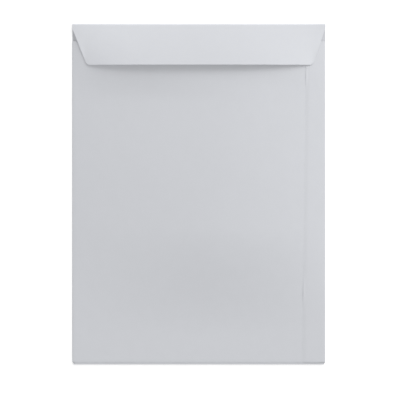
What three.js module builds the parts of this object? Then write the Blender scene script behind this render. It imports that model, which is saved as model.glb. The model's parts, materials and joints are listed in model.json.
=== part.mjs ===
import * as THREE from 'three';

// Self-seal pocket envelope lying on its address face, with the flap folded down over the mouth.
// Millimetres. X runs across the pocket, Y from the bottom fold to the flap fold, Z up.
// The origin is under the middle of the pocket, on the surface that it lies on.

// Paper, glue and latex
const paper = 0.15;
const glueFilm = 0.05;
const latexFilm = 0.06;

// Pocket outline, and the space between its faces where they are pressed together
const pocketWidth = 260;
const pocketLength = 350;
const pressedSpace = 1;
const throatDepth = 18;

// The back panel springs up to a crown that runs a little askew, nearer to the seam at the mouth,
// and its left side stands fuller towards the mouth
const middleSpring = 5.4;
const mouthSpring = 4;
const crownFromLeftAtBottom = 135;
const crownFromLeftAtMouth = 175;
const leftFullness = 1.35;
const leftFullnessAtMouth = 5;
const mouthFullnessReach = 60;
const rightFullness = 2;
const springRise = 110;
const springSettle = 130;
const springStart = 2;

// Bottom closure
const bottomFlapDepth = 28;
const bottomFlapEndInset = 1.5;
const bottomFlapTaper = 12;
const bottomReveal = 2.5;

// Side seam, wider at the bottom than at the mouth
const seamWidthAtBottom = 23.7;
const seamWidthAtMouth = 19.6;
const backEdgeClearance = 3;
const slitWidth = 0.3;
const glueMargin = 2.5;

// Seal flap outline
const flapDepth = 42.4;
const flapShoulder = 5;
const flapInsetLeft = 15;
const flapInsetRight = 13;
const flapCornerRadius = 5;

// Flap fold: an unpressed roll with a short lip beside the front panel
const flapRollRadius = 1.8;
const flapLip = 1;
const flapRunClearance = 0.05;

// How far the closed flap stands off the mouth's edge, and its free edge off the pocket
const flapMouthGap = 0.65;
const flapMiddleLift = 3.3;
const flapLeftDrop = 5.2;
const flapRightDrop = 4.4;

// Latex strips, under the flap and on the pocket below the mouth
const stripEdgeMargin = 4;
const stripMouthMargin = 2;
const stripSideMargin = 22;
const stripSeamMargin = 4;

// Fineness of curved forms
const quarterFoldSegments = 6;
const backLeftColumns = 3;
const backMiddleColumns = 26;
const seamColumns = 3;
const backRiseRows = 24;
const flapColumns = 24;
const flapStripInset = 1;
const stripRows = 4;
const cornerRows = 5;
const slantRows = 4;

// Layer heights, from the table up
const backUnderside = paper + pressedSpace;
const backTop = backUnderside + paper;
const seamUnderside = backTop + glueFilm;
const seamTop = seamUnderside + paper;
const bottomFlapTop = backUnderside - glueFilm;
const bottomFlapUnderside = bottomFlapTop - paper;

// Each side is one rolled fold whose height is the height of the layer that it carries
const leftFoldRadius = backTop / 2;
const rightFoldRadius = seamTop / 2;
const bottomFoldRadius = bottomFlapTop / 2;

// Places across the pocket
const xLeft = -pocketWidth / 2;
const xRight = pocketWidth / 2;
const xLeftFlat = xLeft + leftFoldRadius;
const xRightFlat = xRight - rightFoldRadius;
const xBackEdge = xRightFlat - backEdgeClearance;
const xSeamAtBottom = xRight - seamWidthAtBottom;
const xSeamAtMouth = xRight - seamWidthAtMouth;

// Places along the pocket
const yBottom = -pocketLength / 2;
const yTop = pocketLength / 2;
const yBottomFlat = yBottom + bottomFoldRadius;
const yBackLow = yBottom + bottomReveal;
const yThroat = yTop - throatDepth;
const ySpringStart = yBottom + bottomFlapDepth + springStart;
const yFlapEdge = yTop - flapDepth;
const yStripLow = yFlapEdge + stripEdgeMargin;
const yStripHigh = yThroat - stripMouthMargin;

// The flap turns about the middle of its roll, and leaves the roll on the slope that clears the mouth
const yHinge = yTop - flapRollRadius;
const zHinge = flapRollRadius;
const flapInnerRadius = flapRollRadius - paper;
const zMouthTop = backTop + mouthSpring;
const flapLeaveSlope = (zMouthTop + flapMouthGap - zHinge - flapInnerRadius) / (yHinge - yThroat);
const flapLeaveAngle = Math.atan(flapLeaveSlope);
const yFlapStart = yHinge + flapInnerRadius * Math.sin(flapLeaveAngle);
const zFlapStart = zHinge + flapInnerRadius * Math.cos(flapLeaveAngle);
const flapThickness = new THREE.Vector3(0, Math.sin(flapLeaveAngle), Math.cos(flapLeaveAngle));

// Height of the underside of the flap's free edge
const zFlapEdgeMiddle = zMouthTop + flapMiddleLift;

// The front panel ends where the turning lip just clears its upper face
const lipSweepRadius = Math.hypot(flapRollRadius, flapLip);
const yFrontEdge = yHinge - Math.sqrt(lipSweepRadius ** 2 - (zHinge - paper - flapRunClearance) ** 2);

const axisX = new THREE.Vector3(1, 0, 0);
const axisY = new THREE.Vector3(0, 1, 0);
const axisZ = new THREE.Vector3(0, 0, 1);

// Evenly spaced stations from one place to the next, with the end place left out unless it is the last
function stationsBetween(places, counts) {
  const stations = [];
  counts.forEach((count, stretch) => {
    const start = places[stretch];
    const step = (places[stretch + 1] - start) / count;
    for (let index = 0; index < count; index += 1) {
      stations.push(start + step * index);
    }
  });
  stations.push(places[places.length - 1]);
  return stations;
}

// Flat piece of paper, glue or latex: an outline in X and Y, between two heights
function flatSheet(outline, low, high) {
  const shape = new THREE.Shape(outline.map(([x, y]) => new THREE.Vector2(x, y)));
  const sheet = new THREE.ExtrudeGeometry(shape, { depth: high - low, bevelEnabled: false });
  sheet.translate(0, 0, low);
  return sheet;
}

// Bent sheet on a grid; pointAt gives each corner, on the lower face for side 0 and the upper for side 1
function bentSheet(columns, rows, pointAt) {
  const positions = [];
  const indices = [];
  const corner = (column, row, side) => (side * (rows + 1) + row) * (columns + 1) + column;
  const addQuad = (a, b, c, d) => indices.push(a, b, c, a, c, d);

  for (let side = 0; side <= 1; side += 1) {
    for (let row = 0; row <= rows; row += 1) {
      for (let column = 0; column <= columns; column += 1) {
        positions.push(...pointAt(column, row, side));
      }
    }
  }
  for (let row = 0; row < rows; row += 1) {
    for (let column = 0; column < columns; column += 1) {
      const here = [column, row];
      const right = [column + 1, row];
      const beyond = [column + 1, row + 1];
      const ahead = [column, row + 1];
      addQuad(corner(...here, 1), corner(...right, 1), corner(...beyond, 1), corner(...ahead, 1));
      addQuad(corner(...here, 0), corner(...ahead, 0), corner(...beyond, 0), corner(...right, 0));
    }
  }
  for (let column = 0; column < columns; column += 1) {
    const next = column + 1;
    addQuad(corner(column, 0, 0), corner(next, 0, 0), corner(next, 0, 1), corner(column, 0, 1));
    addQuad(corner(next, rows, 0), corner(column, rows, 0), corner(column, rows, 1), corner(next, rows, 1));
  }
  for (let row = 0; row < rows; row += 1) {
    const next = row + 1;
    addQuad(corner(0, next, 0), corner(0, row, 0), corner(0, row, 1), corner(0, next, 1));
    addQuad(corner(columns, row, 0), corner(columns, next, 0), corner(columns, next, 1), corner(columns, row, 1));
  }
  const sheet = new THREE.BufferGeometry();
  sheet.setAttribute('position', new THREE.Float32BufferAttribute(positions, 3));
  sheet.setIndex(indices);
  sheet.computeVertexNormals();
  return sheet;
}

// Rolled fold: paper bent round a straight line, bulging outward, from its underside up to endAngle
function rolledFold(outward, middle, radius, length, lip, endAngle) {
  const inner = radius - paper;
  const profile = new THREE.Shape();
  profile.moveTo(0, -radius);
  profile.absarc(0, 0, radius, -Math.PI / 2, 0, false);
  profile.absarc(0, 0, radius, 0, endAngle, false);
  profile.absarc(0, 0, inner, endAngle, 0, true);
  profile.absarc(0, 0, inner, 0, -Math.PI / 2, true);
  if (lip > 0) {
    profile.lineTo(-lip, -inner);
    profile.lineTo(-lip, -radius);
  }
  const roll = new THREE.ExtrudeGeometry(profile, {
    depth: length,
    bevelEnabled: false,
    curveSegments: quarterFoldSegments,
  });
  roll.translate(0, 0, -length / 2);
  const along = new THREE.Vector3().crossVectors(outward, axisZ);
  roll.applyMatrix4(new THREE.Matrix4().makeBasis(outward, axisZ, along));
  roll.translate(middle.x, middle.y, middle.z);
  return roll;
}

// How far the back panel and the seam on it spring up above their pressed heights
function springAt(x, y) {
  const along = (y - yBackLow) / (yThroat - yBackLow);
  const xCrown = xLeft + THREE.MathUtils.lerp(crownFromLeftAtBottom, crownFromLeftAtMouth, along);
  const leftward = (xCrown - x) / (xCrown - xLeftFlat);
  const rightward = (x - xCrown) / (xRightFlat - xCrown);
  const nearMouth = THREE.MathUtils.smoothstep(y, yThroat - mouthFullnessReach, yThroat);
  const fullness = THREE.MathUtils.lerp(leftFullness, leftFullnessAtMouth, nearMouth);
  const crown = 1 - (x < xCrown ? leftward ** fullness : rightward ** rightFullness);
  const risen = THREE.MathUtils.smoothstep(y, ySpringStart, ySpringStart + springRise);
  const settled = THREE.MathUtils.smoothstep(y, yFlapEdge - springSettle, yFlapEdge);
  return crown * risen * THREE.MathUtils.lerp(middleSpring, mouthSpring, settled);
}

// Flap's side edge: its distance in from the pocket's side, at a distance up from the free edge
function flapInset(inset, fromEdge) {
  const run = flapDepth - flapShoulder;
  const slant = Math.atan(inset / run);
  const straight = (distance) => inset * Math.max(0, 1 - distance / run);
  const roundEnd = flapCornerRadius * (1 - Math.sin(slant));
  if (fromEdge >= roundEnd) {
    return straight(fromEdge);
  }
  const middle = straight(flapCornerRadius) + flapCornerRadius / Math.cos(slant);
  return middle - Math.sqrt(flapCornerRadius ** 2 - (flapCornerRadius - fromEdge) ** 2);
}

// Height of the flap's underside: it leaves the roll on a slope and bows down towards its lower corners
function flapUnderside(x, y) {
  const across = Math.min(1, Math.abs(x) / (xRight - flapInsetRight));
  const edge = zFlapEdgeMiddle - (x < 0 ? flapLeftDrop : flapRightDrop) * across ** 2;
  const run = yFlapStart - y;
  const fullRun = yFlapStart - yFlapEdge;
  const straight = zFlapStart + flapLeaveSlope * run;
  const straightAtEdge = zFlapStart + flapLeaveSlope * fullRun;
  return straight + (edge - straightAtEdge) * (run / fullRun) ** 2;
}

// Rows of the flap's grid, as distances up from the free edge: the rounded corners, the strip, the rest
function flapRows() {
  const slant = Math.atan(flapInsetLeft / (flapDepth - flapShoulder));
  const rows = [];
  for (let index = 0; index < cornerRows; index += 1) {
    const turn = THREE.MathUtils.lerp(Math.PI / 2, slant, index / cornerRows);
    rows.push(flapCornerRadius * (1 - Math.sin(turn)));
  }
  const places = [stripEdgeMargin, yStripHigh - yFlapEdge, flapDepth - flapShoulder, yFlapStart - yFlapEdge];
  return rows.concat(stationsBetween(places, [stripRows, slantRows, 1]));
}

// A point on the flap's underside, or offset from it through the paper or into the latex
function flapPoint(acrossFraction, fromEdge, offset) {
  const start = xLeft + flapInset(flapInsetLeft, fromEdge);
  const end = xRight - flapInset(flapInsetRight, fromEdge);
  const x = THREE.MathUtils.lerp(start, end, acrossFraction);
  const y = yFlapEdge + fromEdge;
  return [x, y + flapThickness.y * offset, flapUnderside(x, y) + flapThickness.z * offset];
}

function makeFrontPanel() {
  const yEarLow = yBackLow - slitWidth;
  const yEarHigh = yThroat + slitWidth;
  return flatSheet([
    [xLeft, yBottomFlat],
    [xRight, yBottomFlat],
    [xRight, yEarLow],
    [xRightFlat, yEarLow],
    [xRightFlat, yEarHigh],
    [xRight, yEarHigh],
    [xRight, yFrontEdge],
    [xLeft, yFrontEdge],
    [xLeft, yEarHigh],
    [xLeftFlat, yEarHigh],
    [xLeftFlat, yEarLow],
    [xLeft, yEarLow],
  ], 0, paper);
}

function makeSideFold(outward, edge, radius) {
  const middle = new THREE.Vector3(edge - outward.x * radius, (yBackLow + yThroat) / 2, radius);
  return rolledFold(outward, middle, radius, yThroat - yBackLow, 0, Math.PI / 2);
}

function makeBottomFold() {
  const middle = new THREE.Vector3(0, yBottomFlat, bottomFoldRadius);
  const length = pocketWidth - 2 * bottomFlapEndInset;
  return rolledFold(axisY.clone().negate(), middle, bottomFoldRadius, length, 0, Math.PI / 2);
}

function makeBottomFlap() {
  const rootHalf = pocketWidth / 2 - bottomFlapEndInset;
  const edgeHalf = rootHalf - bottomFlapTaper;
  const yEdge = yBottom + bottomFlapDepth;
  return flatSheet([
    [-rootHalf, yBottomFlat],
    [rootHalf, yBottomFlat],
    [edgeHalf, yEdge],
    [-edgeHalf, yEdge],
  ], bottomFlapUnderside, bottomFlapTop);
}

function makeBottomGlue() {
  const half = pocketWidth / 2 - bottomFlapEndInset - bottomFlapTaper - glueMargin;
  const yLow = yBackLow + glueMargin;
  const yHigh = yBottom + bottomFlapDepth - glueMargin;
  return flatSheet([[-half, yLow], [half, yLow], [half, yHigh], [-half, yHigh]], bottomFlapTop, backUnderside);
}

// The sprung layers share one grid, so that they lie face to face. Its rows run across the pocket.
const yGlueLow = yBackLow + glueMargin;
const backRows = stationsBetween(
  [yBackLow, yGlueLow, ySpringStart, yFlapEdge, yStripLow, yStripHigh, yThroat],
  [1, 1, backRiseRows, 1, stripRows, 1],
);

// Its columns follow the seam flap's slanted inner edge
const columnCounts = [backLeftColumns, backMiddleColumns, 1, 1, seamColumns, 1, 1];
const [stripStart, stripEnd, seamStart, glueStart, glueEnd, backEnd, seamEnd] = columnCounts.map(
  (_, stretch) => columnCounts.slice(0, stretch + 1).reduce((sum, count) => sum + count),
);

function backColumnsAt(y) {
  const along = (y - yBackLow) / (yThroat - yBackLow);
  const xSeam = THREE.MathUtils.lerp(xSeamAtBottom, xSeamAtMouth, along);
  return stationsBetween([
    xLeftFlat,
    xLeft + stripSideMargin,
    xSeam - stripSeamMargin,
    xSeam,
    xSeam + glueMargin,
    xBackEdge - glueMargin,
    xBackEdge,
    xRightFlat,
  ], columnCounts);
}

// Layer on part of that grid, between two heights of the unsprung stack
function sprungLayer(firstColumn, lastColumn, firstY, lastY, low, high) {
  const rows = backRows.filter((y) => y >= firstY && y <= lastY);
  return bentSheet(lastColumn - firstColumn, rows.length - 1, (column, row, side) => {
    const y = rows[row];
    const x = backColumnsAt(y)[firstColumn + column];
    return [x, y, springAt(x, y) + (side ? high : low)];
  });
}

function makeBackPanel() {
  return sprungLayer(0, backEnd, yBackLow, yThroat, backUnderside, backTop);
}

function makePocketStrip() {
  return sprungLayer(stripStart, stripEnd, yStripLow, yStripHigh, backTop, backTop + latexFilm);
}

function makeSeamFlap() {
  return sprungLayer(seamStart, seamEnd, yBackLow, yThroat, seamUnderside, seamTop);
}

function makeSeamGlue() {
  return sprungLayer(glueStart, glueEnd, yGlueLow, yStripHigh, backTop, seamUnderside);
}

function makeFlapFold() {
  const middle = new THREE.Vector3(0, yHinge, zHinge);
  return rolledFold(axisY, middle, flapRollRadius, pocketWidth, flapLip, Math.PI / 2 - flapLeaveAngle);
}

function makeSealFlap() {
  const rows = flapRows();
  return bentSheet(flapColumns, rows.length - 1, (column, row, side) => (
    flapPoint(column / flapColumns, rows[row], side * paper)
  ));
}

function makeFlapStrip() {
  const rows = stationsBetween([stripEdgeMargin, yStripHigh - yFlapEdge], [stripRows]);
  return bentSheet(flapColumns - 2 * flapStripInset, stripRows, (column, row, side) => (
    flapPoint((column + flapStripInset) / flapColumns, rows[row], (side - 1) * latexFilm)
  ));
}

function paperMaterial() {
  return new THREE.MeshStandardMaterial({ color: 0xd0d2d6, roughness: 0.88, metalness: 0 });
}

function glueMaterial() {
  return new THREE.MeshStandardMaterial({ color: 0xd9d4c2, roughness: 0.45, metalness: 0 });
}

function latexMaterial() {
  return new THREE.MeshStandardMaterial({ color: 0xdcdbd2, roughness: 0.5, metalness: 0 });
}

function addPiece(group, name, geometry, material) {
  const piece = new THREE.Mesh(geometry, material);
  piece.name = name;
  group.add(piece);
}

const pocket = new THREE.Group();
addPiece(pocket, 'front_panel', makeFrontPanel(), paperMaterial());
addPiece(pocket, 'left_fold', makeSideFold(axisX.clone().negate(), xLeft, leftFoldRadius), paperMaterial());
addPiece(pocket, 'right_fold', makeSideFold(axisX, xRight, rightFoldRadius), paperMaterial());
addPiece(pocket, 'bottom_fold', makeBottomFold(), paperMaterial());
addPiece(pocket, 'bottom_flap', makeBottomFlap(), paperMaterial());
addPiece(pocket, 'bottom_glue_line', makeBottomGlue(), glueMaterial());
addPiece(pocket, 'back_panel', makeBackPanel(), paperMaterial());
addPiece(pocket, 'seam_glue_line', makeSeamGlue(), glueMaterial());
addPiece(pocket, 'seam_flap', makeSeamFlap(), paperMaterial());
addPiece(pocket, 'pocket_latex_strip', makePocketStrip(), latexMaterial());

const sealFlap = new THREE.Group();
addPiece(sealFlap, 'flap_fold', makeFlapFold(), paperMaterial());
addPiece(sealFlap, 'seal_flap', makeSealFlap(), paperMaterial());
addPiece(sealFlap, 'flap_latex_strip', makeFlapStrip(), latexMaterial());

const envelope = new THREE.Group();
envelope.add(pocket, sealFlap);

export default envelope;
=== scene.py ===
import json
import math

import bpy
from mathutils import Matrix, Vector, noise


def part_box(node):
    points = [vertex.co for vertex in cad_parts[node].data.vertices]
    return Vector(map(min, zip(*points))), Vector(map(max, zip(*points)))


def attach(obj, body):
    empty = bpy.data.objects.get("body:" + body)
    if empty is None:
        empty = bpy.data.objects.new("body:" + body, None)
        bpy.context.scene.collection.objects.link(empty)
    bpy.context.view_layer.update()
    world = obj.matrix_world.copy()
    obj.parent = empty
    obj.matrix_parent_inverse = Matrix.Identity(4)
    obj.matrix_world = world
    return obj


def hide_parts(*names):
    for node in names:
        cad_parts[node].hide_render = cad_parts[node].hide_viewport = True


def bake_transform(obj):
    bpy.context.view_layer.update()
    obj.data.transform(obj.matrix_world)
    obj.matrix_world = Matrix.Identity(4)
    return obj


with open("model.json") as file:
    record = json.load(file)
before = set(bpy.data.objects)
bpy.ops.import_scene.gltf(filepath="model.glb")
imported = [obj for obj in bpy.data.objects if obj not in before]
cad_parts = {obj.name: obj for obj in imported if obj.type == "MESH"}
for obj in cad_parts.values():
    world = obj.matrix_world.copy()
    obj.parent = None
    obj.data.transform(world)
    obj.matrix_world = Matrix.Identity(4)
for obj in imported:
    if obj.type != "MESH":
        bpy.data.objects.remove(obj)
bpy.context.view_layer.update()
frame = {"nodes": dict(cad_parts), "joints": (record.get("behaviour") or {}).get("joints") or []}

# Low and high corners of the CAD nodes' boxes, and the hinge's place
front_low, front_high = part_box("front_panel")
back_low, back_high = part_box("back_panel")
left_low, left_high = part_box("left_fold")
right_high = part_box("right_fold")[1]
bottom_low, bottom_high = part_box("bottom_fold")
bottom_flap_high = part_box("bottom_flap")[1]
seam_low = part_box("seam_flap")[0]
roll_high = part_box("flap_fold")[1]
flap_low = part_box("seal_flap")[0]
pocket_strip_low, pocket_strip_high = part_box("pocket_latex_strip")
flap_strip_low, flap_strip_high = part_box("flap_latex_strip")
hinge = Vector(frame["joints"][0]["pos_m"])

# Sizes that the frame gives, in metres
PAPER = front_high.z - front_low.z
X_LEFT = left_low.x
X_RIGHT = right_high.x
Y_BOTTOM = bottom_low.y
Y_TOP = roll_high.y
Y_BACK_LOW = back_low.y
Y_THROAT = back_high.y
Y_FLAP_EDGE = flap_low.y
Y_FRONT_EDGE = front_high.y
LEFT_RADIUS = left_high.z / 2
RIGHT_RADIUS = right_high.z / 2
BOTTOM_RADIUS = bottom_high.z / 2
X_LEFT_FLAT = X_LEFT + LEFT_RADIUS
X_RIGHT_FLAT = X_RIGHT - RIGHT_RADIUS
BACK_UNDERSIDE = back_low.z
BACK_TOP = BACK_UNDERSIDE + PAPER
BACK_EDGE = back_high.x
SEAM_TOP = right_high.z
SEAM_WIDTH_AT_BOTTOM = X_RIGHT - seam_low.x

# What the boxes do not give, lengths in metres: the seam flap's and bottom flap's taper, and the pocket's
# crown, its fullness as powers, its spring and its relief
SEAM_WIDTH_AT_MOUTH = 0.0196
BOTTOM_FLAP_TAPER = 0.012
CROWN_FROM_LEFT_AT_BOTTOM = 0.135
CROWN_FROM_LEFT_AT_MOUTH = 0.175
LEFT_FULLNESS = 1.35
LEFT_FULLNESS_AT_MOUTH = 5
MOUTH_FULLNESS_REACH = 0.06
RIGHT_FULLNESS = 2
RIGHT_FULLNESS_AT_MOUTH = 2.4
RIGHT_FULLNESS_REACH = 0.028
MOUTH_SPRING = 0.004
SPRING_START = 0.002
SPRING_RISE = 0.11
SPRING_SETTLE = 0.13
RELIEF = 0.00035
RELIEF_SCALE = 11
RELIEF_DETAIL = 1
RELIEF_MIDDLE = 0.5
RELIEF_END = 0.08

# The flap's outline, its bow over the pocket, and its fold, which is pinched and pressed at the ends
FLAP_SHOULDER = 0.005
FLAP_INSET_LEFT = 0.015
FLAP_INSET_RIGHT = 0.013
FLAP_CORNER_RADIUS = 0.005
FLAP_MOUTH_GAP = 0.00065
FLAP_MIDDLE_LIFT = 0.00345
FLAP_LEFT_DROP = 0.0064
FLAP_RIGHT_DROP = 0.0057
FLAP_BOW_POWER = 3.2
FOLD_PINCH = 0.5
FOLD_PINCH_POWER = 3
FOLD_PRESS_POWER = 4

# The self-seal latex
LATEX = 0.00006
LATEX_SEAT = 0.00001

# Places worked out from the sizes above
MIDDLE_SPRING = back_high.z - PAPER - BACK_UNDERSIDE
CROWN_AT_BOTTOM = X_LEFT + CROWN_FROM_LEFT_AT_BOTTOM
CROWN_AT_MOUTH = X_LEFT + CROWN_FROM_LEFT_AT_MOUTH
Y_SPRING_START = bottom_flap_high.y + SPRING_START
ROLL_RADIUS = Y_TOP - hinge.y
ROLL_INNER = ROLL_RADIUS - PAPER
MOUTH_TOP = BACK_TOP + MOUTH_SPRING
LEAVE_SLOPE = (MOUTH_TOP + FLAP_MOUTH_GAP - hinge.z - ROLL_INNER) / (hinge.y - Y_THROAT)
Y_FLAP_START = hinge.y + ROLL_INNER * math.sin(math.atan(LEAVE_SLOPE))
FLAP_DEPTH = Y_TOP - Y_FLAP_EDGE

# Camera: square on to the flap side, from far off
PHOTO_PIXELS = 400
ENVELOPE_LEFT_PIXEL = 71.7
ENVELOPE_RIGHT_PIXEL = 325
ENVELOPE_TOP_PIXEL = 23.4
ENVELOPE_BOTTOM_PIXEL = 363.7
LENS_MM = 250
SENSOR_MM = 36
CLIP_FACTOR = 10


def add_camera():
    pixel_across = (X_RIGHT - X_LEFT) / (ENVELOPE_RIGHT_PIXEL - ENVELOPE_LEFT_PIXEL)
    pixel_along = (Y_TOP - Y_BOTTOM) / (ENVELOPE_BOTTOM_PIXEL - ENVELOPE_TOP_PIXEL)
    pixel = (pixel_across + pixel_along) / 2
    middle_x = (ENVELOPE_LEFT_PIXEL + ENVELOPE_RIGHT_PIXEL) / 2
    middle_y = (ENVELOPE_TOP_PIXEL + ENVELOPE_BOTTOM_PIXEL) / 2
    photo_middle = (PHOTO_PIXELS - 1) / 2
    height = PHOTO_PIXELS * pixel * LENS_MM / SENSOR_MM
    data = bpy.data.cameras.new("camera")
    data.lens = LENS_MM
    data.sensor_width = SENSOR_MM
    data.sensor_fit = "HORIZONTAL"
    data.clip_start = height / CLIP_FACTOR
    data.clip_end = height * CLIP_FACTOR
    camera = bpy.data.objects.new("camera", data)
    camera.location = ((photo_middle - middle_x) * pixel, (middle_y - photo_middle) * pixel, height)
    bpy.context.scene.collection.objects.link(camera)
    bpy.context.scene.camera = camera


# Studio: a low wide lamp beyond the flap end, to its right, and one farther off, almost overhead and a
# little towards the bottom end, under an even pale sky. Each lamp has its turn from +Y to +X and its rise
# in degrees, then its distance, width and height in metres, and its power in watts.
LAMPS = {
    "key_lamp": (35, 16, 3.1, 3.8, 1.3, 137),
    "overhead_lamp": (180, 80, 6.0, 3.0, 3.0, 152),
}
WHITE = (1, 1, 1, 1)
SKY_STRENGTH = 0.28
BACKDROP_STRENGTH = 1
FLOOR_COLOR = (0.8, 0.8, 0.8, 1)
FLOOR_GLOW = 0.4
FLOOR_HALF = 6
FLOOR_DROP = 0.00005


def add_lamp(name, turn, rise, distance, width, height, power):
    turn = math.radians(turn)
    rise = math.radians(rise)
    level = distance * math.cos(rise)
    place = Vector((level * math.sin(turn), level * math.cos(turn), distance * math.sin(rise)))
    data = bpy.data.lights.new(name, "AREA")
    data.shape = "RECTANGLE"
    data.size = width
    data.size_y = height
    data.energy = power
    lamp = bpy.data.objects.new(name, data)
    lamp.location = place
    lamp.rotation_euler = place.to_track_quat("Z", "Y").to_euler()
    bpy.context.scene.collection.objects.link(lamp)


def seen_directly(nodes, links):
    """1 for rays from the camera and for mirrored or refracted ones, else 0."""
    path = nodes.new("ShaderNodeLightPath")
    value = path.outputs["Is Camera Ray"]
    for name in ("Is Glossy Ray", "Is Transmission Ray"):
        either = nodes.new("ShaderNodeMath")
        either.operation = "MAXIMUM"
        links.new(value, either.inputs[0])
        links.new(path.outputs[name], either.inputs[1])
        value = either.outputs[0]
    return value


def pick_for_view(nodes, links, light, view, surface):
    """The surface lights the object as one shader and shows itself to the view as the other."""
    pick = nodes.new("ShaderNodeMixShader")
    links.new(seen_directly(nodes, links), pick.inputs["Fac"])
    links.new(light.outputs[0], pick.inputs[1])
    links.new(view.outputs[0], pick.inputs[2])
    links.new(pick.outputs[0], surface)


def add_sky():
    world = bpy.data.worlds.new("studio_sky")
    world.use_nodes = True
    nodes = world.node_tree.nodes
    light = nodes["Background"]
    light.inputs["Color"].default_value = WHITE
    light.inputs["Strength"].default_value = SKY_STRENGTH
    backdrop = nodes.new("ShaderNodeBackground")
    backdrop.inputs["Color"].default_value = WHITE
    backdrop.inputs["Strength"].default_value = BACKDROP_STRENGTH
    pick_for_view(nodes, world.node_tree.links, light, backdrop, nodes["World Output"].inputs["Surface"])
    bpy.context.scene.world = world


def floor_material():
    """Matte floor that keeps the shadow, with a glow for the view alone that takes it to white."""
    material = bpy.data.materials.new("white_floor")
    material.use_nodes = True
    nodes = material.node_tree.nodes
    links = material.node_tree.links
    nodes.clear()
    output = nodes.new("ShaderNodeOutputMaterial")
    matte = nodes.new("ShaderNodeBsdfDiffuse")
    matte.inputs["Color"].default_value = FLOOR_COLOR
    glow = nodes.new("ShaderNodeEmission")
    glow.inputs["Color"].default_value = WHITE
    glow.inputs["Strength"].default_value = FLOOR_GLOW
    both = nodes.new("ShaderNodeAddShader")
    links.new(matte.outputs[0], both.inputs[0])
    links.new(glow.outputs[0], both.inputs[1])
    pick_for_view(nodes, links, matte, both, output.inputs["Surface"])
    return material


def add_floor():
    mesh = bpy.data.meshes.new("floor")
    signs = ((-1, -1), (1, -1), (1, 1), (-1, 1))
    corners = [(FLOOR_HALF * across, FLOOR_HALF * along, -FLOOR_DROP) for across, along in signs]
    mesh.from_pydata(corners, [], [(0, 1, 2, 3)])
    mesh.materials.append(floor_material())
    floor = bpy.data.objects.new("floor", mesh)
    bpy.context.scene.collection.objects.link(floor)


class Nodes:
    """A node tree with short calls to add and join its nodes."""

    def __init__(self, tree):
        self.tree = tree
        self.nodes = tree.nodes
        self.links = tree.links

    def put(self, socket, value):
        if isinstance(value, (int, float)):
            socket.default_value = value
        else:
            self.links.new(value, socket)

    def math(self, operation, *values):
        node = self.nodes.new("ShaderNodeMath")
        node.operation = operation
        for socket, value in zip(node.inputs, values):
            self.put(socket, value)
        return node.outputs[0]


# Materials
PAPER_COLOR = (0.604, 0.616, 0.646)
LATEX_COLOR = (0.60, 0.60, 0.55)
GLUE_COLOR = (0.62, 0.57, 0.46)
PLAIN = (1, 1, 1)
GRAIN_SHARE = 0.6
FLECK_HEIGHT = 0.6


def tinted(color, factor):
    return tuple(channel * factor for channel in color)


class Finish(Nodes):
    """A material of the envelope, with patterns that follow the piece's own place."""

    def __init__(self, name):
        self.material = bpy.data.materials.new(name)
        self.material.use_nodes = True
        super().__init__(self.material.node_tree)
        self.surface = self.nodes["Principled BSDF"]
        self.place = self.nodes.new("ShaderNodeTexCoord").outputs["Object"]

    def set(self, **values):
        for name, value in values.items():
            self.surface.inputs[name.replace("_", " ")].default_value = value

    def noise(self, scale, detail, stretch=(1, 1, 1)):
        mapping = self.nodes.new("ShaderNodeMapping")
        mapping.inputs["Scale"].default_value = stretch
        texture = self.nodes.new("ShaderNodeTexNoise")
        texture.inputs["Scale"].default_value = scale
        texture.inputs["Detail"].default_value = detail
        self.links.new(self.place, mapping.inputs["Vector"])
        self.links.new(mapping.outputs["Vector"], texture.inputs["Vector"])
        return texture.outputs["Fac"]

    def shades(self, pattern, color, dark, light, start=0.3, end=0.7):
        """The colour, from its dark to its light shade where the pattern goes from start to end."""
        ramp = self.nodes.new("ShaderNodeValToRGB")
        stops = ((start, dark), (end, light))
        for element, (position, factor) in zip(ramp.color_ramp.elements, stops):
            element.position = position
            element.color = (*tinted(color, factor), 1)
        self.links.new(pattern, ramp.inputs["Fac"])
        return ramp.outputs["Color"]

    def multiplied(self, share, first, second):
        node = self.nodes.new("ShaderNodeMix")
        node.data_type = "RGBA"
        node.blend_type = "MULTIPLY"
        color_inputs = [socket for socket in node.inputs if socket.type == "RGBA"]
        node.inputs[0].default_value = share
        self.links.new(first, color_inputs[0])
        self.links.new(second, color_inputs[1])
        return next(socket for socket in node.outputs if socket.type == "RGBA")

    def scaled(self, color, attribute):
        """The colour times the value that the piece's points carry under the attribute's name."""
        carried = self.nodes.new("ShaderNodeAttribute")
        carried.attribute_name = attribute
        scale = self.nodes.new("ShaderNodeVectorMath")
        scale.operation = "SCALE"
        self.links.new(color, scale.inputs[0])
        self.links.new(carried.outputs["Fac"], scale.inputs["Scale"])
        return scale.outputs[0]

    def finish(self, color, height, distance, strength):
        """Join the colour, and the height as a fine bump, to the surface."""
        bump = self.nodes.new("ShaderNodeBump")
        bump.inputs["Distance"].default_value = distance
        bump.inputs["Strength"].default_value = strength
        self.links.new(height, bump.inputs["Height"])
        self.links.new(color, self.surface.inputs["Base Color"])
        self.links.new(bump.outputs["Normal"], self.surface.inputs["Normal"])
        return self.material


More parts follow.
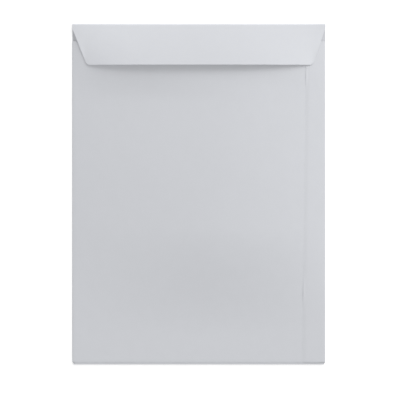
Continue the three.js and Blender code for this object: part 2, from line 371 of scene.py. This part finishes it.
def paper_material(name, with_painted_light):
    paper_finish = Finish(name)
    paper_finish.set(Roughness=0.86, IOR=1.45, Specular_IOR_Level=0.35)
    clouds = paper_finish.noise(scale=90, detail=3)
    fibres = paper_finish.noise(scale=1500, detail=4, stretch=(1, 0.35, 1))
    flecks = paper_finish.noise(scale=5200, detail=2)
    formation = paper_finish.shades(clouds, PAPER_COLOR, dark=0.994, light=1.005)
    grain = paper_finish.shades(fibres, PLAIN, dark=0.985, light=1.012, start=0.25, end=0.75)
    color = paper_finish.multiplied(GRAIN_SHARE, formation, grain)
    # The flap's copy multiplies in the painted light that its points carry
    if with_painted_light:
        color = paper_finish.scaled(color, "painted_light")
    height = paper_finish.math("ADD", fibres, paper_finish.math("MULTIPLY", flecks, FLECK_HEIGHT))
    return paper_finish.finish(color, height, distance=0.00003, strength=0.55)


def latex_material():
    latex_finish = Finish("self_seal_latex")
    latex_finish.set(Roughness=0.68, IOR=1.5, Specular_IOR_Level=0.3)
    streaks = latex_finish.noise(scale=260, detail=4, stretch=(0.25, 1, 1))
    pebbles = latex_finish.noise(scale=1900, detail=3)
    color = latex_finish.shades(streaks, LATEX_COLOR, dark=0.97, light=1.04)
    return latex_finish.finish(color, pebbles, distance=0.00006, strength=0.6)


def glue_material():
    glue_finish = Finish("dried_glue")
    glue_finish.set(Roughness=0.35, IOR=1.48)
    pooled = glue_finish.noise(scale=420, detail=3)
    color = glue_finish.shades(pooled, GLUE_COLOR, dark=0.93, light=1.05, start=0.35, end=0.65)
    return glue_finish.finish(color, pooled, distance=0.00008, strength=0.5)


def smoothstep(value, low, high):
    share = min(1, max(0, (value - low) / (high - low)))
    return share * share * (3 - 2 * share)


def lerp(first, second, share):
    return first + (second - first) * share


def path_along(*stretches):
    """Places along a bent sheet as (stretch, share of it), for stretches given as (name, steps)."""
    path = [(name, index / steps) for name, steps in stretches for index in range(steps)]
    return path + [(stretches[-1][0], 1)]


# Spring of the pocket: the layers over the front panel rise towards the back panel's crown
SPRING_SIZES = {
    "Low End": Y_BACK_LOW,
    "Mouth End": Y_THROAT,
    "Left Flat": X_LEFT_FLAT,
    "Right Flat": X_RIGHT_FLAT,
    "Crown At Bottom": CROWN_AT_BOTTOM,
    "Crown At Mouth": CROWN_AT_MOUTH,
    "Left Fullness": LEFT_FULLNESS,
    "Left Fullness At Mouth": LEFT_FULLNESS_AT_MOUTH,
    "Mouth Fullness Reach": MOUTH_FULLNESS_REACH,
    "Right Fullness": RIGHT_FULLNESS,
    "Right Fullness At Mouth": RIGHT_FULLNESS_AT_MOUTH,
    "Right Fullness Reach": RIGHT_FULLNESS_REACH,
    "Rise Start": Y_SPRING_START,
    "Rise End": Y_SPRING_START + SPRING_RISE,
    "Settle Start": Y_FLAP_EDGE - SPRING_SETTLE,
    "Settle End": Y_FLAP_EDGE,
    "Middle Spring": MIDDLE_SPRING,
    "Mouth Spring": MOUTH_SPRING,
    "Relief": RELIEF,
    "Relief End": RELIEF_END,
    "Seam Edge": seam_low.x,
}


class Rule(Nodes):
    """A geometry node tree with a named input for each of its sizes."""

    def __init__(self, name, sizes):
        super().__init__(bpy.data.node_groups.new(name, "GeometryNodeTree"))
        sockets = self.tree.interface
        sockets.new_socket("Geometry", in_out="INPUT", socket_type="NodeSocketGeometry")
        for size in sizes:
            sockets.new_socket(size, in_out="INPUT", socket_type="NodeSocketFloat")
        sockets.new_socket("Material", in_out="INPUT", socket_type="NodeSocketMaterial")
        sockets.new_socket("Geometry", in_out="OUTPUT", socket_type="NodeSocketGeometry")
        self.given = self.nodes.new("NodeGroupInput").outputs

    def share(self, value, start, end):
        """How far the value is from start towards end: 0 before the start, 1 at the end, more beyond."""
        span = self.math("SUBTRACT", end, start)
        return self.math("MAXIMUM", self.math("DIVIDE", self.math("SUBTRACT", value, start), span), 0)

    def between(self, first, second, share):
        return self.math("MULTIPLY_ADD", self.math("SUBTRACT", second, first), share, first)

    def smooth(self, value, start, end):
        node = self.nodes.new("ShaderNodeMapRange")
        node.interpolation_type = "SMOOTHSTEP"
        self.put(node.inputs["Value"], value)
        self.put(node.inputs["From Min"], start)
        self.put(node.inputs["From Max"], end)
        return node.outputs["Result"]

    def finish(self, geometry):
        realize = self.nodes.new("GeometryNodeRealizeInstances")
        coat = self.nodes.new("GeometryNodeSetMaterial")
        self.links.new(geometry, realize.inputs["Geometry"])
        self.links.new(realize.outputs["Geometry"], coat.inputs["Geometry"])
        self.links.new(self.given["Material"], coat.inputs["Material"])
        self.links.new(coat.outputs["Geometry"], self.nodes.new("NodeGroupOutput").inputs["Geometry"])
        return self.tree


def crown_shape(rule, x, y):
    """1 on the crown, falling to 0 at both side folds."""
    given = rule.given
    along = rule.share(y, given["Low End"], given["Mouth End"])
    crown_x = rule.between(given["Crown At Bottom"], given["Crown At Mouth"], along)

    full_from = rule.math("SUBTRACT", given["Mouth End"], given["Mouth Fullness Reach"])
    near_mouth = rule.smooth(y, full_from, given["Mouth End"])
    left_fullness = rule.between(given["Left Fullness"], given["Left Fullness At Mouth"], near_mouth)
    leftward = rule.share(x, crown_x, given["Left Flat"])
    left_fall = rule.math("POWER", leftward, left_fullness)

    fuller_from = rule.math("SUBTRACT", given["Settle End"], given["Right Fullness Reach"])
    near_flap = rule.smooth(y, fuller_from, given["Settle End"])
    right_fullness = rule.between(given["Right Fullness"], given["Right Fullness At Mouth"], near_flap)
    rightward = rule.share(x, crown_x, given["Right Flat"])
    right_fall = rule.math("POWER", rightward, right_fullness)
    return rule.math("SUBTRACT", rule.math("SUBTRACT", 1, left_fall), right_fall)


def soft_relief(rule, position, x):
    """The paper's slight unevenness, which the glued side seam holds flat."""
    texture = rule.nodes.new("ShaderNodeTexNoise")
    texture.inputs["Scale"].default_value = RELIEF_SCALE
    texture.inputs["Detail"].default_value = RELIEF_DETAIL
    rule.links.new(position, texture.inputs["Vector"])
    uneven = rule.math("SUBTRACT", texture.outputs["Fac"], RELIEF_MIDDLE)
    loose = rule.math("SUBTRACT", 1, rule.smooth(x, rule.given["Relief End"], rule.given["Seam Edge"]))
    return rule.math("MULTIPLY", rule.math("MULTIPLY", uneven, loose), rule.given["Relief"])


def spring_rule(sizes):
    """Raises the pocket's sprung layers from their pressed heights, as far as their points are sprung."""
    rule = Rule("pocket_spring", sizes)
    given = rule.given
    position = rule.nodes.new("GeometryNodeInputPosition").outputs["Position"]
    split = rule.nodes.new("ShaderNodeSeparateXYZ")
    rule.links.new(position, split.inputs[0])
    x = split.outputs["X"]
    y = split.outputs["Y"]

    risen = rule.smooth(y, given["Rise Start"], given["Rise End"])
    settled = rule.smooth(y, given["Settle Start"], given["Settle End"])
    height = rule.between(given["Middle Spring"], given["Mouth Spring"], settled)
    shape = rule.math("MULTIPLY", crown_shape(rule, x, y), risen)
    rise = rule.math("MULTIPLY", shape, rule.math("ADD", height, soft_relief(rule, position, x)))

    weight = rule.nodes.new("GeometryNodeInputNamedAttribute")
    weight.data_type = "FLOAT"
    weight.inputs["Name"].default_value = "sprung"
    offset = rule.nodes.new("ShaderNodeCombineXYZ")
    rule.links.new(rule.math("MULTIPLY", rise, weight.outputs["Attribute"]), offset.inputs["Z"])
    move = rule.nodes.new("GeometryNodeSetPosition")
    rule.links.new(given["Geometry"], move.inputs["Geometry"])
    rule.links.new(offset.outputs[0], move.inputs["Offset"])
    return rule.finish(move.outputs["Geometry"])


def follow_rule(piece, tree, sizes, material):
    """Shape the piece by the rule and keep the result as its plain mesh."""
    modifier = piece.modifiers.new(tree.name, "NODES")
    modifier.node_group = tree
    for item in tree.interface.items_tree:
        if item.in_out == "INPUT" and item.name in sizes:
            modifier[item.identifier] = float(sizes[item.name])
        elif item.name == "Material":
            modifier[item.identifier] = material
    shaped = piece.evaluated_get(bpy.context.evaluated_depsgraph_get())
    pressed = piece.data
    piece.data = bpy.data.meshes.new_from_object(shaped)
    piece.modifiers.clear()
    bpy.data.meshes.remove(pressed)


def add_values(piece, name, value_at):
    """Give each point of the piece a value under the name."""
    values = piece.data.attributes.new(name, "FLOAT", "POINT").data
    for vertex, value in zip(piece.data.vertices, values):
        value.value = value_at(vertex)


# Sheets of paper and films of latex
SHARP_ANGLE = math.radians(50)


def grid_sheet(name, columns, rows, point_at, material):
    """Closed sheet of paper or film; point_at(column, row, side) gives both faces, side 1 outside."""
    points = []
    faces = []

    def corner(column, row, side):
        return (side * (rows + 1) + row) * (columns + 1) + column

    def add_rim(first, second):
        faces.append([corner(*first, 0), corner(*second, 0), corner(*second, 1), corner(*first, 1)])

    for side in range(2):
        for row in range(rows + 1):
            points += [point_at(column, row, side) for column in range(columns + 1)]
    for row in range(rows):
        for column in range(columns):
            quad = [(column, row), (column + 1, row), (column + 1, row + 1), (column, row + 1)]
            faces.append([corner(*place, 1) for place in quad])
            faces.append([corner(*place, 0) for place in reversed(quad)])
    for column in range(columns):
        add_rim((column, 0), (column + 1, 0))
        add_rim((column + 1, rows), (column, rows))
    for row in range(rows):
        add_rim((0, row + 1), (0, row))
        add_rim((columns, row), (columns, row + 1))
    mesh = bpy.data.meshes.new(name)
    mesh.from_pydata(points, [], faces)
    mesh.materials.append(material)
    for polygon in mesh.polygons:
        polygon.use_smooth = True
    mesh.set_sharp_from_angle(angle=SHARP_ANGLE)
    piece = bpy.data.objects.new(name, mesh)
    bpy.context.scene.collection.objects.link(piece)
    return piece


# Wrapped sheet: seam flap, right fold, front panel, left fold and back panel, as one piece of paper
ROW_STEP = 0.0025
BACK_STEP = 0.0022
SEAM_STEPS = 16
SEAM_BUNCHING = 1.5
FOLD_STEPS = 12
FRONT_STEPS = 26

# The seam flap's unglued lip: how far in it reaches, how close it lies and how its outer face is pressed,
# and the places where it stands open, each as (place along, reach to each side, rise)
LIP_WIDTH = 0.0025
LIP_SINK = 0.00004
LIP_PRESS = 0.00012
LIP_PRESS_WIDTH = 0.004
LIP_RISES = ((0.122, 0.017, 0.00026), (-0.1, 0.02, 0.00026))


def seam_lip(from_edge, y):
    """The seam flap's unglued edge lies close, and stands open at a few places."""
    height = -LIP_SINK
    for place, reach, rise in LIP_RISES:
        height += rise * smoothstep(1 - abs(y - place) / reach, 0, 1)
    return height * smoothstep(1 - from_edge / LIP_WIDTH, 0, 1)


def wrap_point(stretch, share, y, side):
    """A point of the wrap before it springs; side 1 is the outer face of the paper."""
    depth = (1 - side) * PAPER
    if stretch == "seam":
        along = (y - Y_BACK_LOW) / (Y_THROAT - Y_BACK_LOW)
        edge = X_RIGHT - lerp(SEAM_WIDTH_AT_BOTTOM, SEAM_WIDTH_AT_MOUTH, along)
        x = lerp(edge, X_RIGHT_FLAT, share ** SEAM_BUNCHING)
        pressed = LIP_PRESS * side * smoothstep(1 - (x - edge) / LIP_PRESS_WIDTH, 0, 1)
        return (x, y, SEAM_TOP - depth + seam_lip(x - edge, y) - pressed)
    if stretch == "right":
        turn = lerp(math.pi / 2, -math.pi / 2, share)
        radius = RIGHT_RADIUS - depth
        return (X_RIGHT_FLAT + radius * math.cos(turn), y, RIGHT_RADIUS + radius * math.sin(turn))
    if stretch == "front":
        return (lerp(X_RIGHT_FLAT, X_LEFT_FLAT, share), y, depth)
    if stretch == "left":
        turn = lerp(-math.pi / 2, -math.pi * 3 / 2, share)
        radius = LEFT_RADIUS - depth
        return (X_LEFT_FLAT + radius * math.cos(turn), y, LEFT_RADIUS + radius * math.sin(turn))
    return (lerp(X_LEFT_FLAT, BACK_EDGE, share), y, BACK_TOP - depth)


def make_wrapped_sheet():
    back_steps = round((BACK_EDGE - X_LEFT_FLAT) / BACK_STEP)
    path = path_along(("seam", SEAM_STEPS), ("right", FOLD_STEPS), ("front", FRONT_STEPS),
                      ("left", FOLD_STEPS), ("back", back_steps))
    rows = round((Y_THROAT - Y_BACK_LOW) / ROW_STEP)

    def point_at(column, row, side):
        stretch, share = path[column]
        return wrap_point(stretch, share, lerp(Y_BACK_LOW, Y_THROAT, row / rows), side)

    def sprung(vertex):
        stretch = path[vertex.index % len(path)][0]
        return 1 if stretch in ("seam", "back") else 0

    piece = grid_sheet("wrapped_sheet", len(path) - 1, rows, point_at, paper)
    add_values(piece, "sprung", sprung)
    follow_rule(piece, spring_tree, SPRING_SIZES, paper)
    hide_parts("front_panel", "left_fold", "right_fold", "back_panel", "seam_flap")
    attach(piece, "pocket")


# Ends of the front panel beyond the wrap: the band in the mouth, and the bottom closure
BAND_COLUMNS = 26
BAND_ROWS = 12
CLOSURE_FRONT_STEPS = 2
CLOSURE_FLAP_STEPS = 12


def make_mouth_band():
    def point_at(column, row, side):
        x = lerp(X_LEFT, X_RIGHT, column / BAND_COLUMNS)
        y = lerp(Y_THROAT, Y_FRONT_EDGE, row / BAND_ROWS)
        return (x, y, side * PAPER)

    piece = grid_sheet("mouth_band", BAND_COLUMNS, BAND_ROWS, point_at, paper)
    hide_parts("front_panel")
    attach(piece, "pocket")


def make_bottom_closure():
    """From the front panel's lower end, round the bottom fold, up the bottom flap."""
    root = bottom_flap_high.x
    y_flat = Y_BOTTOM + BOTTOM_RADIUS
    path = path_along(("front", CLOSURE_FRONT_STEPS), ("fold", FOLD_STEPS), ("flap", CLOSURE_FLAP_STEPS))

    def point_at(column, row, side):
        stretch, share = path[row]
        across = lerp(-1, 1, column / BAND_COLUMNS)
        depth = (1 - side) * PAPER
        if stretch == "front":
            half = lerp(X_RIGHT, root, share)
            return (half * across, lerp(Y_BACK_LOW, y_flat, share), depth)
        if stretch == "fold":
            turn = lerp(-math.pi / 2, -math.pi * 3 / 2, share)
            radius = BOTTOM_RADIUS - depth
            return (root * across, y_flat + radius * math.cos(turn), BOTTOM_RADIUS + radius * math.sin(turn))
        y = lerp(y_flat, bottom_flap_high.y, share)
        return ((root - BOTTOM_FLAP_TAPER * share) * across, y, 2 * BOTTOM_RADIUS - depth)

    piece = grid_sheet("bottom_closure", BAND_COLUMNS, len(path) - 1, point_at, paper)
    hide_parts("bottom_fold", "bottom_flap")
    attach(piece, "pocket")


# Seal flap with its rolled fold, which runs round from the front panel's top edge to the flap
FLAP_COLUMNS = 110
CORNER_STEPS = 9
SLANT_STEPS = 24
SHOULDER_STEPS = 4
ROLL_STEPS = 28
ROLL_LIP_STEPS = 2

# The flap paper's painted light, as colour factors beside the pocket's paper: in the middle a touch of
# painted shade, what the two ends add as painted brightening, and its share at the fold
FLAP_PAINTED_LIGHT = 0.99
LEFT_END_PAINTED_LIGHT = 0.16
RIGHT_END_PAINTED_LIGHT = 0.08
FOLD_PAINTED_LIGHT_SHARE = 0.6


def flap_inset(inset, from_edge):
    """The flap's side edge: how far in it is, at a distance up from the free edge."""
    run = FLAP_DEPTH - FLAP_SHOULDER
    slant = math.atan(inset / run)
    if from_edge >= FLAP_CORNER_RADIUS * (1 - math.sin(slant)):
        return inset * max(0, 1 - from_edge / run)
    middle = inset * (1 - FLAP_CORNER_RADIUS / run) + FLAP_CORNER_RADIUS / math.cos(slant)
    return middle - math.sqrt(FLAP_CORNER_RADIUS ** 2 - (FLAP_CORNER_RADIUS - from_edge) ** 2)


def fold_radius(x):
    """The roll of the flap fold is fullest in the middle and pinched at its ends."""
    return ROLL_RADIUS * (1 - FOLD_PINCH * min(1, abs(x) / X_RIGHT) ** FOLD_PINCH_POWER)


def leave_slope(x):
    """The flap climbs from its fold on to the pocket, less towards the ends, where it is pressed flat."""
    return LEAVE_SLOPE * (1 - min(1, abs(x) / X_RIGHT) ** FOLD_PRESS_POWER)


def flap_start(x):
    """Where the flap's underside leaves its fold, as (y, z)."""
    radius = fold_radius(x)
    inner = radius - PAPER
    angle = math.atan(leave_slope(x))
    return Y_TOP - radius + inner * math.sin(angle), radius + inner * math.cos(angle)


def flap_across(x):
    """0 in the middle of the flap, and 1 as far out as its right lower corner and beyond, on either side."""
    return min(1, abs(x) / (X_RIGHT - FLAP_INSET_RIGHT))


def flap_underside(x, y):
    drop = FLAP_LEFT_DROP if x < 0 else FLAP_RIGHT_DROP
    edge = MOUTH_TOP + FLAP_MIDDLE_LIFT - drop * flap_across(x) ** FLAP_BOW_POWER
    y_start, z_start = flap_start(x)
    run = y_start - y
    full_run = y_start - Y_FLAP_EDGE
    slope = leave_slope(x)
    straight = z_start + slope * run
    return straight + (edge - z_start - slope * full_run) * (run / full_run) ** 2


def flap_painted_light(vertex):
    """Painted light: the flap is coloured lighter towards both ends, most at its free edge, in place of the
    light that its lowered corners do not catch.
    """
    end_painted_light = LEFT_END_PAINTED_LIGHT if vertex.co.x < 0 else RIGHT_END_PAINTED_LIGHT
    from_fold = lerp(FOLD_PAINTED_LIGHT_SHARE, 1, min(1, (Y_TOP - vertex.co.y) / FLAP_DEPTH))
    return FLAP_PAINTED_LIGHT + end_painted_light * from_fold * flap_across(vertex.co.x) ** 2


def flap_path():
    """Places from the free edge to the fold by their distance, then round the roll and along its lip."""
    slant = math.atan(FLAP_INSET_LEFT / (FLAP_DEPTH - FLAP_SHOULDER))
    turns = [lerp(math.pi / 2, slant, index / CORNER_STEPS) for index in range(CORNER_STEPS)]
    distances = [FLAP_CORNER_RADIUS * (1 - math.sin(turn)) for turn in turns]
    corner_end = FLAP_CORNER_RADIUS * (1 - math.sin(slant))
    shoulder = FLAP_DEPTH - FLAP_SHOULDER
    fold = Y_FLAP_START - Y_FLAP_EDGE
    distances += [lerp(corner_end, shoulder, index / SLANT_STEPS) for index in range(SLANT_STEPS)]
    distances += [lerp(shoulder, fold, index / SHOULDER_STEPS) for index in range(SHOULDER_STEPS)]
    path = [("flap", distance) for distance in distances]
    path += [("roll", index / ROLL_STEPS) for index in range(ROLL_STEPS + 1)]
    path += [("lip", (index + 1) / ROLL_LIP_STEPS) for index in range(ROLL_LIP_STEPS)]
    return path


def flap_sheet_point(stretch, value, across, side):
    """A point of the closed flap; side 1 is the outer face of the paper."""
    if stretch == "flap":
        start = X_LEFT + flap_inset(FLAP_INSET_LEFT, value)
        end = X_RIGHT - flap_inset(FLAP_INSET_RIGHT, value)
        x = lerp(start, end, across)
        y = Y_FLAP_EDGE + value
        angle = math.atan(leave_slope(x))
        thick = PAPER * side
        return (x, y + math.sin(angle) * thick, flap_underside(x, y) + math.cos(angle) * thick)
    x = lerp(X_LEFT, X_RIGHT, across)
    middle = fold_radius(x)
    radius = middle - PAPER * (1 - side)
    if stretch == "roll":
        turn = lerp(math.pi / 2 - math.atan(leave_slope(x)), -math.pi / 2, value)
        return (x, Y_TOP - middle + radius * math.cos(turn), middle + radius * math.sin(turn))
    return (x, lerp(Y_TOP - middle, Y_FRONT_EDGE, value), middle - radius)


def make_flap_sheet():
    path = flap_path()

    def point_at(column, row, side):
        stretch, value = path[row]
        return flap_sheet_point(stretch, value, column / FLAP_COLUMNS, side)

    piece = grid_sheet("flap_sheet", FLAP_COLUMNS, len(path) - 1, point_at, flap_paper)
    # Each point carries its painted light, which the flap's paper multiplies into its colour
    add_values(piece, "painted_light", flap_painted_light)
    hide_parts("flap_fold", "seal_flap")
    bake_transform(piece)


# Self-seal latex strips, one on the pocket and one on the flap, with edges that wander a little. Each
# strip's two seeds are for its low and its high edge.
STRIP_COLUMNS = 90
STRIP_ROWS = 12
STRIP_WANDER = 0.0006
STRIP_WANDER_SCALE = 240
POCKET_STRIP_SEEDS = (3.1, 7.7)
FLAP_STRIP_SEEDS = (13.3, 17.9)
FLAP_STRIP_MARGIN = 0.0095


def strip_y(low, high, seeds, along, up):
    """A place across the strip, between its wandering edges, at a share along and a share up."""
    wander = [noise.noise(Vector((along * STRIP_WANDER_SCALE, seed, 0))) * STRIP_WANDER for seed in seeds]
    return lerp(low.y + STRIP_WANDER + wander[0], high.y - STRIP_WANDER + wander[1], up)


def make_pocket_strip():
    low, high = pocket_strip_low, pocket_strip_high

    def point_at(column, row, side):
        along = column / STRIP_COLUMNS
        y = strip_y(low, high, POCKET_STRIP_SEEDS, along, row / STRIP_ROWS)
        return (lerp(low.x, high.x, along), y, BACK_TOP + LATEX_SEAT + side * LATEX)

    piece = grid_sheet("pocket_latex", STRIP_COLUMNS, STRIP_ROWS, point_at, latex)
    add_values(piece, "sprung", lambda vertex: 1)
    follow_rule(piece, spring_tree, SPRING_SIZES, latex)
    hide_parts("pocket_latex_strip")
    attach(piece, "pocket")


def make_flap_strip():
    def point_at(column, row, side):
        along = column / STRIP_COLUMNS
        y = strip_y(flap_strip_low, flap_strip_high, FLAP_STRIP_SEEDS, along, row / STRIP_ROWS)
        from_edge = y - Y_FLAP_EDGE
        start = X_LEFT + flap_inset(FLAP_INSET_LEFT, from_edge) + FLAP_STRIP_MARGIN
        end = X_RIGHT - flap_inset(FLAP_INSET_RIGHT, from_edge) - FLAP_STRIP_MARGIN
        x = lerp(start, end, along)
        return (x, y, flap_underside(x, y) - LATEX_SEAT - (1 - side) * LATEX)

    piece = grid_sheet("flap_latex", STRIP_COLUMNS, STRIP_ROWS, point_at, latex)
    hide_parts("flap_latex_strip")
    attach(piece, "flap")


def coat_glue_lines():
    """The two glue lines are the CAD nodes, with dried glue in place of their plain colour."""
    glue = glue_material()
    for node in ("seam_glue_line", "bottom_glue_line"):
        mesh = frame["nodes"][node].data
        mesh.materials.clear()
        mesh.materials.append(glue)


paper = paper_material("white_paper", False)
# The flap's paper, brightened by painted light from its points' values
flap_paper = paper_material("flap_paper", True)
latex = latex_material()
spring_tree = spring_rule(SPRING_SIZES)

coat_glue_lines()
make_wrapped_sheet()
make_mouth_band()
make_bottom_closure()
make_flap_sheet()
make_pocket_strip()
make_flap_strip()

add_camera()
for lamp_name, lamp_values in LAMPS.items():
    add_lamp(lamp_name, *lamp_values)
add_sky()
add_floor()
bpy.context.scene.view_settings.view_transform = "Standard"
